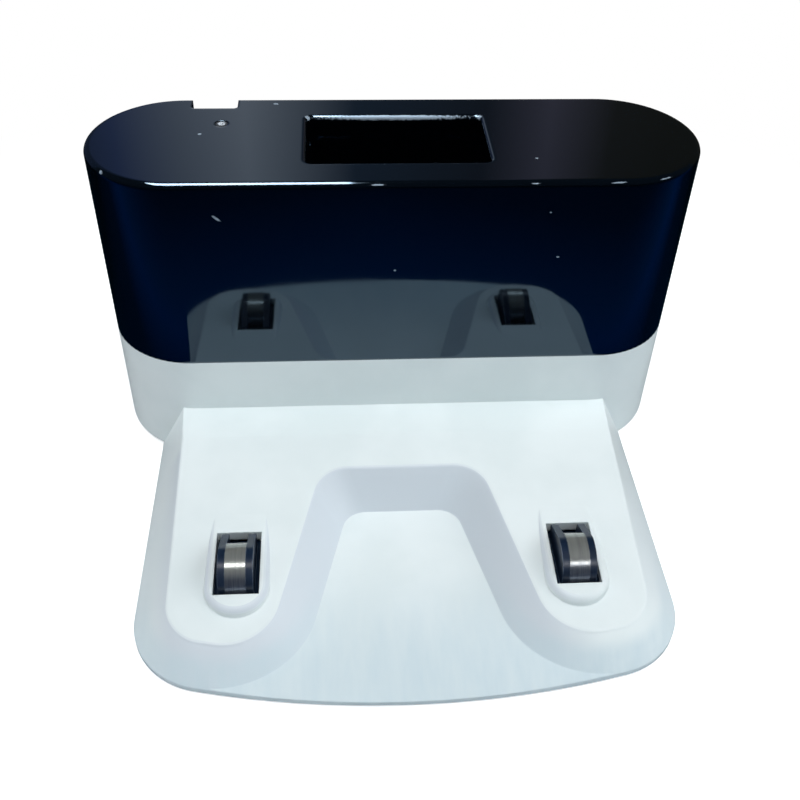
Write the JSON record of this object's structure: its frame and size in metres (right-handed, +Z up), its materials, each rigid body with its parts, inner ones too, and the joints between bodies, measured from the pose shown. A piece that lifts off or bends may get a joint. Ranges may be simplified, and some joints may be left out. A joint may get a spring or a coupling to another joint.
{
  "type": "robot vacuum charging dock",
  "caption": "Low charging dock: a white ramp with a central dip and sprung metal contacts in front of a rounded gloss black tower with a tool well and a rear cord notch.",
  "frame": {"origin": "on the floor under the middle of the footprint", "axes": "+X across the dock, -Y towards the approaching robot, +Z up"},
  "size_m": [0.1508, 0.1264, 0.0854],
  "materials": {
    "white_abs": "fine satin moulding",
    "black_gloss_cover": "polished moulding",
    "black_acetal": "satin moulding",
    "nickel_strip": "nickel plated, lightly worn",
    "spring_steel": "drawn wire",
    "lead_insulation": "extruded sleeve",
    "circuit_board": "solder mask",
    "emitter_resin": "cast resin",
    "lamp_resin": "cast resin",
    "clear_light_pipe": "clear moulding",
    "jack_plastic": "moulded",
    "brass_pin": "turned",
    "zinc_screw": "zinc plated",
    "foot_rubber": "moulded"
  },
  "bodies": {
    "dock": {"base_housing": "white_abs", "bottom_plate": "white_abs", "contact_lead_left": "lead_insulation", "contact_lead_right": "lead_insulation", "contact_spring_left": "spring_steel", "contact_spring_right": "spring_steel", "contact_terminal_left": "nickel_strip", "contact_terminal_right": "nickel_strip", "emitter_centre": "emitter_resin", "emitter_left": "emitter_resin", "emitter_right": "emitter_resin", "foot_front_left": "foot_rubber", "foot_front_right": "foot_rubber", "foot_rear_left": "foot_rubber", "foot_rear_right": "foot_rubber", "main_board": "circuit_board", "power_jack": "jack_plastic", "power_jack_pin": "brass_pin", "screw_front_left": "zinc_screw", "screw_front_right": "zinc_screw", "screw_rear_left": "zinc_screw", "screw_rear_right": "zinc_screw", "status_board": "circuit_board", "status_lamp": "lamp_resin", "status_light_pipe": "clear_light_pipe", "tower_cover": "black_gloss_cover"},
    "contact_left": {"contact_holder_left": "black_acetal", "contact_strip_left": "nickel_strip"},
    "contact_right": {"contact_holder_right": "black_acetal", "contact_strip_right": "nickel_strip"}
  },
  "joints": [
    {"name": "contact_left_press", "type": "slide", "parent": "dock", "child": "contact_left", "axis": [0, 0, -1], "range_m": [0, 0.0025], "stiffness_N_per_m": 250, "springref_m": -0.0015, "deforming": ["contact_spring_left"]},
    {"name": "contact_right_press", "type": "slide", "parent": "dock", "child": "contact_right", "axis": [0, 0, -1], "range_m": [0, 0.0025], "stiffness_N_per_m": 250, "springref_m": -0.0015, "deforming": ["contact_spring_right"]}
  ]
}
